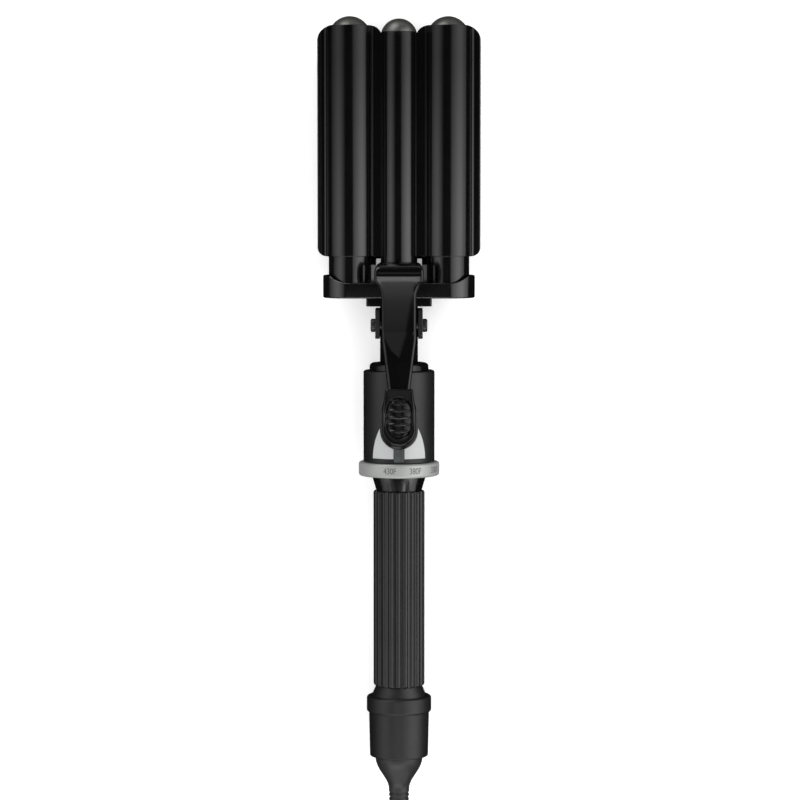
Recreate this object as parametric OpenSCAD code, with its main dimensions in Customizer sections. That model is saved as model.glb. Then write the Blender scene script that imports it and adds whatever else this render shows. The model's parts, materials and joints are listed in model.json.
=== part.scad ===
// Hair waver with three barrels: two fixed barrels in a yoke, a third on the clamp lever,
// a dial ring, a ribbed handle and a swivel cord.
// It lies on its back along Y: tips at +Y, lever side up, resting on its ring and its stand.

/* [Fixed barrels] */
// Outer radius of each fixed barrel
barrel_r = 10.6; // [9:0.1:12]
// Distance of each fixed barrel from the centre line
barrel_pitch = 24.4; // [23:0.1:27]
// Length of a fixed barrel from the underside of the yoke to the top of its dome
barrel_reach = 139.4; // [120:0.2:160]
// Wall of all three barrels
barrel_wall = 1; // [0.8:0.1:1.4]
// Height of the satin tip that closes each barrel
tip_h = 6.6; // [5:0.1:8]
// Depth of a tip's plug inside its barrel
tip_plug = 5; // [3:0.5:8]
// Thickness of a heater bar
heater_t = 6; // [4:0.5:8]
// Clearance between a heater bar and the two ends of its barrel
heater_gap = 8; // [4:0.5:14]

/* [Rear trough] */
// Radial gap between the middle barrel and the trough behind it
trough_gap = 0.6; // [0.4:0.1:1]
// Thickness of the trough plate
trough_t = 1.2; // [0.8:0.1:1.6]
// Half angle of the trough's round floor
trough_turn = 30; // [25:1:35]
// Length of the trough above its notch
trough_len = 110.6; // [80:0.1:112]
// Half width of the notch that clears the foot of the lever's head
notch_half = 11.4; // [11.2:0.1:13.4]

/* [Yoke] */
// Height of the yoke at its ends
yoke_h = 11.3; // [10:0.1:14]
// Depth of the dip in the yoke's front and back walls
yoke_dip = 3.6; // [2:0.1:5]
// Radius of the dip's run-out at each end
dip_r = 14.4; // [10:0.2:18]
// Radius of the yoke's round ends
yoke_end_r = 13.5; // [12.5:0.1:15]
// Wall of the yoke
yoke_wall = 1.6; // [1.2:0.1:2]
// Thickness of the yoke's floor
yoke_floor = 1.8; // [1.4:0.1:3]
// Half width of the bracket block under the yoke
block_half = 16.25; // [15:0.05:18]
// Height of the bracket block
block_h = 4; // [3.6:0.1:6]
// Front of the block above the centre line
block_front = 11.4; // [9:0.1:12]
// Back of the block below the centre line
block_back = 12.9; // [12.5:0.1:13.4]

/* [Middle barrel] */
// Outer radius of the middle barrel
middle_r = 9.15; // [8.5:0.05:9.6]
// Rise of the middle barrel above the fixed barrels
middle_up = 1; // [0.4:0.1:1.6]
// How far the middle dome stands below the outer domes
middle_short = 1.2; // [0.4:0.1:3]

/* [Clamp plates] */
// Clearance between a clamp plate and its fixed barrel
plate_gap = 0.35; // [0.3:0.05:0.6]
// Thickness of the clamp plates
plate_t = 0.8; // [0.6:0.1:1]
// Half width over both clamp plates
plate_half = 40.5; // [39:0.1:44]
// Length of the clamp plates
plate_len = 114.1; // [90:0.1:120]
// How far the plates end below the top of the outer domes
plate_short = 4.7; // [3:0.1:10]
// Height of the plates' outer flange above the centre line
flange_up = 0.6; // [0.4:0.1:2]
// Height of the web that joins a plate to the middle barrel
web_up = 2.7; // [2.5:0.1:3.5]
// Corner radius at the plates' outer top corners
top_corner = 7.4; // [4:0.1:9]
// Corner radius at the plates' outer bottom corners
foot_corner = 4.5; // [2:0.5:6]
// Corner radius at the plates' inner top corners
inner_corner = 6; // [3:0.5:7]

/* [Pivot] */
// Height of the pivot pin above the centre line
pivot_up = 13.4; // [13.4:0.1:15]
// Distance from the pivot pin up to the underside of the bracket block
pivot_drop = 9.2; // [9:0.1:11]
// Radius of the pivot pin
pin_r = 2.3; // [2:0.1:2.4]
// Radius of the pin's heads
pin_head_r = 3.3; // [3:0.1:3.8]
// Height of the pin's heads
pin_head_h = 2.3; // [1.5:0.1:3]
// Running clearance of pins in their bores
pin_gap = 0.05; // [0.03:0.01:0.08]
// Height of the bracket's ears along the tool
ear_h = 14.2; // [12:0.1:15]
// Thickness of the bracket's ears
ear_t = 2.25; // [1.8:0.05:3]
// Wire thickness of the lever's spring
spring_wire = 1; // [0.8:0.1:1]
// Turns of the lever's spring
spring_turns = 6; // [4:1:7]

/* [Lever] */
// Thickness of the lever's sheet
lever_t = 1.6; // [1.2:0.1:2]
// Height of the lever's face above the centre line, over the pivot
lever_up = 19.4; // [19.2:0.1:20.5]
// Slope of the lever's rear arm in degrees
lever_slope = 14.5; // [14:0.1:17]
// Half width of the lever over the pivot
lever_half = 8.6; // [8:0.1:9]
// Half width of the lever's head in front of the yoke
head_half = 12.2; // [11:0.1:12.6]
// Radius of the bend at the lever's head
head_bend = 6.5; // [5:0.1:8]
// Slope of the lever's face, which rises from the arm's root to the head
head_slope = 4; // [2:0.5:6]
// Half width of the lever's rear arm where the thumb rest begins
arm_half = 5.5; // [5:0.1:7]
// Gap between the lever's head and the middle of the yoke
head_gap = 8.5; // [7.5:0.1:10]
// Radius of the lobe round the pivot pin
lobe_r = 4.2; // [3.9:0.1:4.6]

/* [Thumb rest] */
// Length of the thumb rest
rest_len = 28.6; // [24:0.2:30]
// Half width of the thumb rest's top edge
rest_top_half = 6.9; // [6:0.1:8]
// Half width of the thumb rest
rest_half = 8.4; // [7.5:0.1:9]
// Half width over the skirt round the thumb rest's lower half
skirt_half = 9.4; // [8.5:0.1:10]
// Thickness of the thumb rest above the lever's arm
rest_t = 3.4; // [2.6:0.1:4]
// Half width of the oval thumb pad
pad_half = 6.8; // [5:0.1:7]
// Length of the oval thumb pad
pad_len = 20; // [16:0.2:22]
// Depth of the oval thumb pad
pad_dip = 0.8; // [0.5:0.1:1.2]
// Ridges across the thumb pad
ridges = 5; // [3:1:7]
// Distance between the ridges
ridge_pitch = 3.3; // [2.6:0.1:3.6]

/* [Neck] */
// Radius of the neck stem
stem_r = 9.45; // [9:0.05:9.5]
// Wall of the neck stem
stem_wall = 1.8; // [1.4:0.1:2.4]
// Length of the neck stem between the collar and the block
stem_len = 28.4; // [28:0.2:34]
// Radius of the collar on top of the body
collar_r = 14.7; // [13:0.1:16]
// Height of the collar
collar_h = 3.8; // [3:0.1:5]
// Edge radius of the collar
collar_edge = 2; // [1:0.1:2.4]

/* [Body] */
// Outer radius of the body
body_r = 17.75; // [17:0.05:18.4]
// Length of the body
body_len = 45.6; // [42:0.2:52]
// Wall of the body
body_wall = 2.2; // [1.8:0.1:2.6]
// Edge radius at the top of the body
body_edge = 1; // [0.6:0.1:1.6]
// Length of the pointed inlay
inlay_len = 27; // [22:0.2:30]
// Half width of the inlay at its foot
inlay_half = 12.95; // [11:0.05:14]
// Thickness of the inlay
inlay_t = 1; // [0.8:0.1:1.2]
// How far the inlay stands proud of the body
inlay_proud = 0.15; // [0.1:0.05:0.3]
// Width of plain body between the inlay and the ring
ledge_h = 2.5; // [2:0.1:4]
// Thickness of the circuit board
board_t = 1.6; // [1.2:0.1:2]
// Length of the circuit board
board_len = 26; // [20:1:28]

/* [Power button] */
// Width of the power button
button_w = 5.1; // [4:0.1:6]
// Length of the power button along the tool
button_len = 7.4; // [6:0.1:8]
// How far the button stands proud of the body
button_proud = 0.5; // [0.3:0.1:0.8]
// Travel of the power button
button_travel = 0.6; // [0.3:0.1:0.7]
// Clearance round the power button
button_gap = 0.15; // [0.1:0.05:0.25]

/* [Dial ring] */
// Outer radius of the dial ring
ring_r = 20.15; // [19.4:0.05:21]
// Height of the dial ring
ring_h = 7.1; // [6:0.1:8]
// Edge radius of the dial ring
ring_edge = 1.2; // [0.6:0.1:1.6]
// Bore radius of the dial ring
ring_bore = 12.5; // [12:0.1:12.8]
// Clearance above and below the dial ring
ring_gap = 0.1; // [0.05:0.05:0.2]

/* [Handle] */
// Length of the glossy neck below the ring
neck_h = 7.6; // [6:0.1:9]
// Radius of the neck under the ring
neck_top_r = 13.35; // [13.1:0.05:14]
// Radius of the neck at the grip
neck_low_r = 11.35; // [11:0.05:12]
// Length of the ribbed grip
grip_len = 98.3; // [80:0.1:115]
// Radius over the grip's ribs
grip_r = 12.8; // [12:0.1:14]
// Ribs round the grip
grip_ribs = 20; // [16:1:24]
// Depth of the grooves between the ribs
rib_depth = 0.9; // [0.6:0.1:1.2]
// Outer radius of the core tube
core_r = 8.8; // [8:0.1:9.2]
// Wall of the core tube
core_wall = 1.6; // [1.2:0.1:2]

/* [End cap] */
// Height of the cone between the grip and the band
cone_h = 5.3; // [4:0.1:7]
// Radius of the cone at the grip
cone_top_r = 11.5; // [11:0.1:12]
// Radius of the cone at the band
cone_low_r = 13.4; // [13:0.1:14.5]
// Radius of the band
band_r = 16.2; // [15.6:0.1:17]
// Height of the band
band_h = 8; // [6:0.1:10]
// Radius of the cup under the band
cup_r = 15.1; // [14.6:0.1:15.4]
// Radius of the cup at its foot
cup_low_r = 14.6; // [14.2:0.1:14.8]
// Length of the cup
cup_len = 22.7; // [20:0.1:26]
// Wall of the cup
cup_wall = 1.6; // [1.2:0.1:2]

/* [Swivel boot] */
// Radius of the boot where it leaves the cup
boot_r = 11.9; // [10.5:0.1:12]
// Length of the boot's bell
boot_len = 17; // [14:0.2:22]
// Length of the ribbed strain relief
relief_len = 35.4; // [24:0.2:44]
// Radius of the strain relief at the bell
relief_r = 5.1; // [4.2:0.1:5.4]
// Radius of the strain relief at its end
relief_low_r = 3.9; // [3.7:0.1:4.2]
// Ribs along the strain relief
relief_ribs = 16; // [10:1:20]
// Running clearance between the boot and the cup
boot_gap = 0.2; // [0.15:0.05:0.4]

/* [Stand] */
// Height of the stand's hinge below the centre line
hinge_down = 10.5; // [10.4:0.1:10.8]
// Radius of the stand's hinge pins
hinge_r = 1.3; // [1:0.1:1.4]
// Thickness of the stand's arms and foot
stand_t = 1.6; // [1.2:0.1:1.8]
// Length of the stand's foot along the tool
foot_len = 6; // [4:0.2:8]

/* [Cord] */
// Diameter of the cord
cord_d = 6.5; // [6:0.1:7]
// Radius of the coil at the middle of its turns
coil_mid_r = 39; // [36:0.5:42]
// Thickness of the coil across its turns
coil_w = 26; // [19.5:0.5:32.5]
// Height of the coil
coil_h = 13; // [13:0.5:19.5]

/* [Hidden] */
$fn = 64;
eps = 0.01;
seat = 0.05;

// Stations along Y, from the cord end to the tips
overall = relief_len + boot_len + cup_len + band_h + cone_h + grip_len + neck_h
    + ring_h + body_len + collar_h + stem_len + block_h + barrel_reach;
y_relief = -overall / 2;
y_boot = y_relief + relief_len;
y_cup = y_boot + boot_len;
y_band = y_cup + cup_len;
y_cone = y_band + band_h;
y_grip = y_cone + cone_h;
y_neck = y_grip + grip_len;
y_ring = y_neck + neck_h;
y_body = y_ring + ring_h;
y_collar = y_body + body_len;
y_stem = y_collar + collar_h;
y_block = y_stem + stem_len;
y_yoke = y_block + block_h;
y_top = y_yoke + barrel_reach;
y_floor = y_yoke + yoke_floor;
y_pivot = y_block - pivot_drop;
y_dip = y_yoke + yoke_h - yoke_dip;
y_plate = y_top - plate_short - plate_len;

// Heights above the table: the tool stands on its ring
axis_h = ring_r;

// Values that several pieces share
collar_screw_r = (stem_r + collar_r) / 2;
screw_places = [[-8, -5.5], [-8, 5.5], [8, -5.5], [8, 5.5]];
middle_top = y_top - middle_short;
plate_in = barrel_r + plate_gap;
plate_out = plate_in + plate_t;
ear_in = stem_r + seat;
ear_out = ear_in + ear_t;
body_in = body_r - body_wall;
spigot_r = ring_bore - seat;
core_bore = core_r + seat;
yoke_half = barrel_pitch + barrel_r + 2.8;
head_y = y_dip + head_gap + lever_t;
slope_y = y_pivot - 3;
rest_y = slope_y - 28;
arm_end = rest_y - rest_len + 5;
pad_y = -rest_len / 2 - 1;
rest_screws = [-6, 14 - rest_len];
rest_screw_r = 1;
hinge_y = y_block + block_h / 2;
arm_w = block_h;
stand_in = block_half - stand_t;
base_t = 3.2;
track_in = 13.3;
track_out = 15.2;

// Power button: its ends along Y, the station of its stem, and its heights above the centre line
button_low_y = y_body + 0.9;
button_high_y = button_low_y + button_len;
button_stem_y = y_body + base_t + 0.5;
button_mid_y = (button_stem_y + button_high_y) / 2;
button_flange = 0.9;
button_foot = sqrt(pow(body_in, 2) - pow(button_w / 2 + button_flange, 2)) - 1.1;
lens_up = track_out + 1 + button_travel + 0.2;
dome_up = button_foot - button_travel - 1.4;

// The lead leaves the boot, sags to the table and runs to the coil
lead_path = [
    [0, y_relief, axis_h], [0, -216, axis_h], [1.1, -224, 19.6], [3.3, -232, 18.3],
    [6.4, -240, 16.3], [10.1, -248, 13.9], [14, -256, 11.4], [17.9, -264, 8.9], [21.4, -272, 6.6],
    [24.3, -280, 4.8], [26.3, -288, 3.7], [27, -296, 3.3], [27, -300, 3.3]
];
coil_x = 27 - coil_mid_r - coil_w / 2 + cord_d / 2;
coil_y = -318;

// The tail leaves the coil's outer turn in the upper layer and runs down to the plug
tail_path = [
    [-65.3, -293.3, 9.7], [-64.5, -288, 9.4], [-64.1, -283, 8.7], [-64, -278, 7.7],
    [-64, -272, 6.8], [-64, -267, 6.5], [-64, -264, 6.5]
];
plug_x = -64;
plug_y = -250;
plug_w = 24;
plug_h = 13;
plug_len = 28;

// A profile in X and height above the centre line, run along Y
module run(y_from, y_to) {
    translate([0, y_to, axis_h]) rotate([90, 0, 0]) linear_extrude(y_to - y_from) children();
}

// A profile in radius and Y, turned round a line along Y
module turned(x = 0, up = 0) {
    translate([x, 0, axis_h + up]) rotate([-90, 0, 0]) rotate_extrude() children();
}

// A profile in Y and height above the centre line, run across X
module across(x_from, x_to) {
    translate([x_from, 0, axis_h]) rotate([90, 0, 90]) linear_extrude(x_to - x_from) children();
}

// A pin or bore across X
module cross_pin(y, up, r, x_from, x_to) {
    across(x_from, x_to) translate([y, up]) circle(r);
}

// A plan outline in X and Y, run upwards between two heights above the centre line
module upright(from, to) {
    translate([0, 0, axis_h + from]) linear_extrude(to - from) children();
}

module both_sides() {
    children();
    mirror([1, 0, 0]) children();
}

// A rectangle with round corners, centred
module round_box(w, h, r) {
    union() {
        square([w - 2 * r, h], center = true);
        if (h > 2 * r) square([w, h - 2 * r], center = true);
        for (sx = [-1, 1], sy = [-1, 1]) translate([sx * (w / 2 - r), sy * (h / 2 - r)]) circle(r);
    }
}

// A rectangle from the axis out to a radius, with its two outer corners rounded
module round_disc(r, y_from, y_to, low_edge, top_edge) {
    union() {
        translate([0, y_from]) square([r - low_edge, y_to - y_from - top_edge]);
        translate([0, y_from + low_edge]) square([r - top_edge, y_to - y_from - low_edge]);
        translate([0, y_from + low_edge]) square([r, y_to - y_from - low_edge - top_edge]);
        translate([r - low_edge, y_from + low_edge]) circle(low_edge);
        translate([r - top_edge, y_to - top_edge]) circle(top_edge);
    }
}

// ---- Barrels ----

// Half section of a round-ended barrel of the given radius
module dome_section(r, y_from, y_apex) {
    union() {
        translate([0, y_from]) square([r, y_apex - r - y_from]);
        intersection() {
            translate([0, y_apex - r]) circle(r);
            translate([0, y_apex - r - eps]) square([r, r + 2 * eps]);
        }
    }
}

module barrel_tube(r, y_from, y_apex) {
    difference() {
        dome_section(r, y_from, y_apex);
        translate([-eps, y_from - 1]) square([r - barrel_wall + eps, y_apex - y_from + 2]);
        translate([-eps, y_apex - tip_h]) square([r + 1, tip_h + 1]);
    }
}

module tip_section(r, y_apex) {
    union() {
        intersection() {
            dome_section(r, y_apex - r - 1, y_apex);
            translate([0, y_apex - tip_h]) square([r, tip_h]);
        }
        translate([0, y_apex - tip_h - tip_plug]) square([r - barrel_wall - seat, tip_plug + eps]);
    }
}

module heater_bar(r) {
    intersection() {
        circle(r - barrel_wall - 0.2);
        square([2 * r, heater_t], center = true);
    }
}

module fixed_barrel(side) {
    turned(side * barrel_pitch) barrel_tube(barrel_r, y_floor, y_top);
}

module fixed_tip(side) {
    turned(side * barrel_pitch) tip_section(barrel_r, y_top);
}

module fixed_heater(side) {
    run(head_y + heater_gap, middle_top - tip_h - tip_plug - heater_gap)
        translate([side * barrel_pitch, 0]) heater_bar(barrel_r);
}

module left_barrel() { color("#141414") fixed_barrel(-1); }
module right_barrel() { color("#141414") fixed_barrel(1); }
module left_tip() { color("#4a4a48") fixed_tip(-1); }
module right_tip() { color("#4a4a48") fixed_tip(1); }
module left_heater() { color("#d8d4c8") fixed_heater(-1); }
module right_heater() { color("#d8d4c8") fixed_heater(1); }

// What lies above one face of the trough: a round floor between two straight wings
module trough_fill(r) {
    reach = 14;
    foot = [r * sin(trough_turn), -r * cos(trough_turn)];
    wing = reach * [cos(trough_turn), sin(trough_turn)];
    translate([0, middle_up]) union() {
        circle(r);
        polygon([foot, foot + wing, [-foot[0] - wing[0], foot[1] + wing[1]], [-foot[0], foot[1]]]);
    }
}

module rear_trough() {
    in_r = middle_r + trough_gap;
    y_end = y_top - 9.5;
    color("#161616") difference() {
        run(y_floor, y_end) difference() {
            trough_fill(in_r + trough_t);
            trough_fill(in_r);
            translate([-20, -1.9]) square([40, 20]);
            for (side = [-1, 1]) translate([side * barrel_pitch, 0]) circle(barrel_r);
        }
        upright(-15, 5) translate([-notch_half, y_floor - 5])
            square([2 * notch_half, y_end - trough_len - y_floor + 5]);
    }
}

// ---- Yoke and bracket ----

module yoke_outline(inset) {
    round_box(2 * (yoke_half - inset), 2 * (yoke_end_r - inset), yoke_end_r - inset);
}

module jaw_yoke() {
    dip_half = barrel_pitch + 0.6;
    color("#181818") difference() {
        run(y_yoke, y_yoke + yoke_h) yoke_outline(0);
        run(y_floor, y_yoke + yoke_h + 1) yoke_outline(yoke_wall);
        upright(-20, 20) union() {
            translate([-dip_half, y_dip]) square([2 * dip_half, 2 * dip_r]);
            for (side = [-1, 1]) translate([side * dip_half, y_dip + dip_r]) circle(dip_r);
        }
        yoke_screw_holes(y_yoke - 1, y_floor + 1);
    }
}

module yoke_screw_holes(y_from, y_to) {
    for (p = screw_places) run(y_from, y_to) translate(p) circle(1.5);
}

module yoke_screws() {
    color("#9a9a98") for (p = screw_places) turned(p[0], p[1]) union() {
        translate([0, y_yoke - 3]) square([1.5, 3 + yoke_floor + eps]);
        round_disc(2.6, y_floor, y_floor + 1.6, 0.2, 0.6);
    }
}

module block_outline() {
    difference() {
        translate([0, (block_front - block_back) / 2])
            round_box(2 * block_half, block_front + block_back, 1);
        for (side = [-1, 1]) translate([side * (stand_in - 0.1 + stand_t), -hinge_down])
            square([2 * stand_t, 9], center = true);
    }
}

module stand_block() {
    color("#1a1a1a") difference() {
        run(y_block, y_yoke) block_outline();
        cross_pin(hinge_y, -hinge_down, hinge_r, -block_half - 1, block_half + 1);
        for (p = screw_places) run(y_yoke - 3.2, y_yoke + 1) translate(p) circle(1.5);
    }
}

module stand_pins() {
    color("#8a8a88") both_sides()
        cross_pin(hinge_y, -hinge_down, hinge_r, stand_in - 6, block_half);
}

module rest_stand() {
    foot_w = 2 * block_half;
    arm_r = arm_w / 2 - 0.1;
    color("#2a2a2a") difference() {
        union() {
            both_sides() across(stand_in, block_half) union() {
                translate([hinge_y, -hinge_down]) circle(arm_r);
                translate([hinge_y - arm_r, -axis_h]) square([2 * arm_r, axis_h - hinge_down]);
            }
            upright(-axis_h, stand_t - axis_h)
                translate([0, hinge_y - arm_r + foot_len / 2]) round_box(foot_w, foot_len, 1);
        }
        cross_pin(hinge_y, -hinge_down, hinge_r + pin_gap, -block_half - 1, block_half + 1);
    }
}

// Tube of the neck, from inside the body up to the bracket block
module neck_stem() {
    color("#1c1c1c") difference() {
        run(y_collar - body_wall - 3, y_block) circle(stem_r);
        run(y_collar - body_wall - 4, y_block + 1) circle(stem_r - stem_wall);
    }
}

// Channel round the neck whose two ears carry the pivot pin
module pivot_bracket() {
    back_t = 1.1;
    ear_mid = y_pivot + 0.6;
    ear_top = pivot_up + 3.6;
    color("#202020") difference() {
        run(ear_mid - ear_h / 2, ear_mid + ear_h / 2) difference() {
            translate([-ear_out, -ear_in - back_t]) square([2 * ear_out, ear_in + back_t + ear_top]);
            circle(ear_in);
            translate([-ear_in, 0]) square([2 * ear_in, ear_top + 1]);
        }
        cross_pin(y_pivot, pivot_up, pin_r, -ear_out - 1, ear_out + 1);
    }
}

module pivot_pin() {
    color("#6a6a6a") translate([0, y_pivot, axis_h + pivot_up]) rotate([0, 90, 0]) rotate_extrude()
        union() {
            translate([0, -ear_out]) square([pin_r, 2 * ear_out]);
            round_disc(pin_head_r, ear_out, ear_out + pin_head_h, 0.3, 0.9);
            round_disc(pin_head_r, -ear_out - pin_head_h, -ear_out, 0.9, 0.3);
        }
}

// Points of the lever's spring: one leg on the neck, the coil round the pin, one leg under the lever
spring_r = pin_r + 0.4 + spring_wire / 2;
spring_half = 5.2;
leg_len = 11;
low_leg_turn = 8.5;
high_leg_turn = 12;
spring_steps = 12 * spring_turns + 6;
function spring_turn(k) = -90 - k * (360 * spring_turns + 180) / spring_steps;
function spring_coil(k) = [
    -spring_half + 2 * spring_half * k / spring_steps,
    y_pivot + spring_r * cos(spring_turn(k)),
    pivot_up + spring_r * sin(spring_turn(k))
];
spring_path = concat(
    [[-spring_half, y_pivot - leg_len * cos(low_leg_turn), pivot_up - spring_r - leg_len * sin(low_leg_turn)]],
    [for (k = [0:spring_steps]) spring_coil(k)],
    [[spring_half, y_pivot - leg_len * cos(high_leg_turn), pivot_up + spring_r + leg_len * sin(high_leg_turn)]]
);

module lever_spring() {
    color("#b0b0ae") translate([0, 0, axis_h]) sweep(spring_path, spring_wire / 2, 6);
}

// A round wire swept along a list of points
function unit(v) = v / norm(v);
function heading(path, k) = unit(path[min(k + 1, len(path) - 1)] - path[max(k - 1, 0)]);
function side_of(path, k) = unit(cross(heading(path, k), [0.31, 0.13, 0.94]));
function ring_point(path, k, r, turn) = path[k] + r * cos(turn) * side_of(path, k)
    + r * sin(turn) * cross(heading(path, k), side_of(path, k));

module sweep(path, r, sides) {
    rings = len(path);
    points = [for (k = [0:rings - 1], s = [0:sides - 1]) ring_point(path, k, r, 360 * s / sides)];
    start = [for (s = [0:sides - 1]) s];
    finish = [for (s = [sides - 1:-1:0]) (rings - 1) * sides + s];
    skin = [for (k = [0:rings - 2], s = [0:sides - 1]) let (n = (s + 1) % sides, o = k * sides)
        each [[o + s, o + sides + s, o + n], [o + n, o + sides + s, o + sides + n]]];
    polyhedron(points, concat([start], skin, [finish]));
}

// ---- Lever ----

// Side outline of the lever's face and head, grown or shrunk by a drop
module lever_side(drop) {
    top = lever_up - drop;
    bend = head_bend - drop;
    bend_y = head_y - head_bend;
    bend_up = top + (bend_y - slope_y) * tan(head_slope) - bend / cos(head_slope);
    sheet_end = arm_end - 1;
    rise = (slope_y - sheet_end) * tan(lever_slope);
    union() {
        polygon([[slope_y, -20], [bend_y, -20], [bend_y, bend_up],
            [bend_y - bend * sin(head_slope), bend_up + bend * cos(head_slope)], [slope_y, top],
            [sheet_end, top + rise], [sheet_end, -20]]);
        translate([bend_y - eps, -20]) square([bend + eps, 20 + bend_up]);
        translate([bend_y, bend_up]) circle(bend);
    }
}

// Side view of what the sheet keeps: the head's front wall, flanges over the yoke, a lobe
// round the pivot pin and a lower edge that rises to the plain arm
module flange_side() {
    over_yoke = max(yoke_end_r, block_front) + 1.2;
    wall_y = head_y - lever_t - eps;
    fade_y = y_pivot - 24;
    function under(y) = arm_top(y) - lever_t;
    union() {
        polygon([[wall_y, -20], [head_y + 10, -20], [head_y + 10, 60], [arm_end - 10, 60],
            [arm_end - 10, under(arm_end - 10)], [fade_y, under(fade_y)],
            [y_pivot - lobe_r + 0.4, pivot_up + 0.9], [y_pivot, over_yoke], [wall_y, over_yoke]]);
        translate([y_pivot, pivot_up]) circle(lobe_r);
    }
}

// Plan outline of the lever: wide head, concave flanks, straight middle, narrowing arm
module lever_plan(inset) {
    flank_r = 10;
    flank_y = y_yoke + 0.8;
    corner = 4.5;
    wide = head_half - inset;
    difference() {
        union() {
            translate([0, (head_y + flank_y - inset) / 2])
                round_box(2 * wide, head_y - flank_y - inset, corner - inset);
            translate([-wide, flank_y]) square([2 * wide, 6]);
            polygon([
                [-lever_half + inset, flank_y + 1], [-lever_half + inset, y_pivot - 7],
                [-arm_half + inset, rest_y], [-arm_half + inset, arm_end],
                [arm_half - inset, arm_end], [arm_half - inset, rest_y],
                [lever_half - inset, y_pivot - 7], [lever_half - inset, flank_y + 1]
            ]);
        }
        for (side = [-1, 1]) translate([side * (lever_half + flank_r), flank_y])
            circle(flank_r + inset);
    }
}

// Front view outline of the lever's head: a round foot behind the middle barrel
module head_front() {
    union() {
        translate([0, middle_up]) circle(middle_r + 2);
        translate([-head_half - 1, middle_up + 6]) square([2 * head_half + 2, 60]);
    }
}

module clamp_lever() {
    color("#121212") difference() {
        intersection() {
            across(-20, 20) intersection() {
                lever_side(0);
                flange_side();
            }
            upright(-20, 60) lever_plan(0);
            run(arm_end - 10, head_y + 10) head_front();
        }
        intersection() {
            across(-20, 20) lever_side(lever_t);
            upright(-21, 60) lever_plan(lever_t);
        }
        cross_pin(y_pivot, pivot_up, pin_r + pin_gap, -20, 20);
        for (y = rest_screws) on_arm() translate([0, y, -3]) cylinder(r = rest_screw_r + 0.1, h = 6);
    }
}

// ---- Middle barrel and clamp plates ----

module middle_barrel() {
    color("#141414") turned(0, middle_up) barrel_tube(middle_r, head_y, middle_top);
}

module middle_tip() {
    color("#4a4a48") turned(0, middle_up) tip_section(middle_r, middle_top);
}

module middle_heater() {
    color("#d8d4c8") run(head_y + heater_gap, middle_top - tip_h - tip_plug - heater_gap)
        translate([0, middle_up]) heater_bar(middle_r);
}

// Section of a clamp plate: web, arch over the barrel, hollow corner, flange and rolled edge
module plate_section() {
    bead = plate_t * 0.95;
    foot = flange_up + plate_t;
    hollow = 1.6;
    flank = barrel_pitch + sqrt(plate_out * plate_out - (foot + hollow) * (foot + hollow));
    difference() {
        union() {
            intersection() {
                translate([barrel_pitch, 0]) circle(plate_out);
                translate([0, flange_up]) square([60, 30]);
            }
            translate([barrel_pitch, flange_up])
                square([plate_half - bead - barrel_pitch, plate_t]);
            translate([plate_half - bead, flange_up + bead]) circle(bead);
            difference() {
                translate([barrel_pitch, flange_up]) square([flank + hollow - barrel_pitch, foot + hollow - flange_up]);
                translate([flank + hollow, foot + hollow]) circle(hollow);
            }
            translate([middle_r - 1, web_up]) square([barrel_pitch - middle_r, plate_t]);
        }
        translate([barrel_pitch, 0]) circle(plate_in);
        translate([0, -1]) square([barrel_pitch - plate_in + 2, web_up + 1]);
        translate([0, middle_up]) circle(middle_r);
    }
}

// What a rounded corner removes, seen from above: sx and sy point out of the plate
module corner_cut(x, y, sx, sy, r) {
    upright(-5, 25) translate([x, y]) scale([sx, sy])
        polygon([for (a = [0:9:90]) [r * cos(a), r * sin(a)], [0, r + 1], [r + 1, r + 1], [r + 1, 0]]);
}

module clamp_plate() {
    y_end = y_plate + plate_len;
    inner_x = middle_r - 0.8 + inner_corner;
    difference() {
        run(y_plate, y_end) plate_section();
        corner_cut(inner_x, y_end - inner_corner, -1, 1, inner_corner);
        corner_cut(plate_half - top_corner, y_end - top_corner, 1, 1, top_corner);
        corner_cut(plate_half - foot_corner, y_plate + foot_corner, 1, -1, foot_corner);
    }
}

module right_clamp_plate() { color("#131313") clamp_plate(); }
module left_clamp_plate() { color("#131313") mirror([1, 0, 0]) clamp_plate(); }

// ---- Thumb rest ----

// Height of the lever's arm above the centre line
function arm_top(y) = lever_up + (slope_y - y) * tan(lever_slope);

// Places the children on the lever's sloping arm: X across, Y along it, Z off its face
module on_arm() {
    translate([0, rest_y, axis_h + arm_top(rest_y)]) rotate([-lever_slope, 0, 0]) children();
}

module rest_plan(half, from, grow) {
    tail = half + grow;
    body_y = -rest_len + half;
    union() {
        polygon([[-rest_top_half, from], [rest_top_half, from], [tail, body_y + 6], [tail, body_y],
            [-tail, body_y], [-tail, body_y + 6]]);
        translate([0, body_y]) circle(tail);
    }
}

module thumb_rest() {
    arm_clear = arm_half + seat;
    color("#101010") difference() {
        on_arm() union() {
            translate([0, 0, -1.2]) linear_extrude(rest_t + 1.2) rest_plan(rest_half, 0, 0);
            translate([0, 0, -2]) linear_extrude(2.4) intersection() {
                rest_plan(rest_half, 0, skirt_half - rest_half);
                translate([-20, -rest_len - 5]) square([40, rest_len - 6]);
            }
        }
        on_arm() {
            translate([-arm_clear, -(rest_y - arm_end) / cos(lever_slope) - seat, -5])
                cube([2 * arm_clear, rest_len + 10, 5]);
            translate([0, pad_y, rest_t - pad_dip]) linear_extrude(5) pad_outline();
            for (y = rest_screws) translate([0, y, -1]) cylinder(r = rest_screw_r, h = 2.2);
        }
    }
    color("#101010") on_arm() ridge_set();
}

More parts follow.
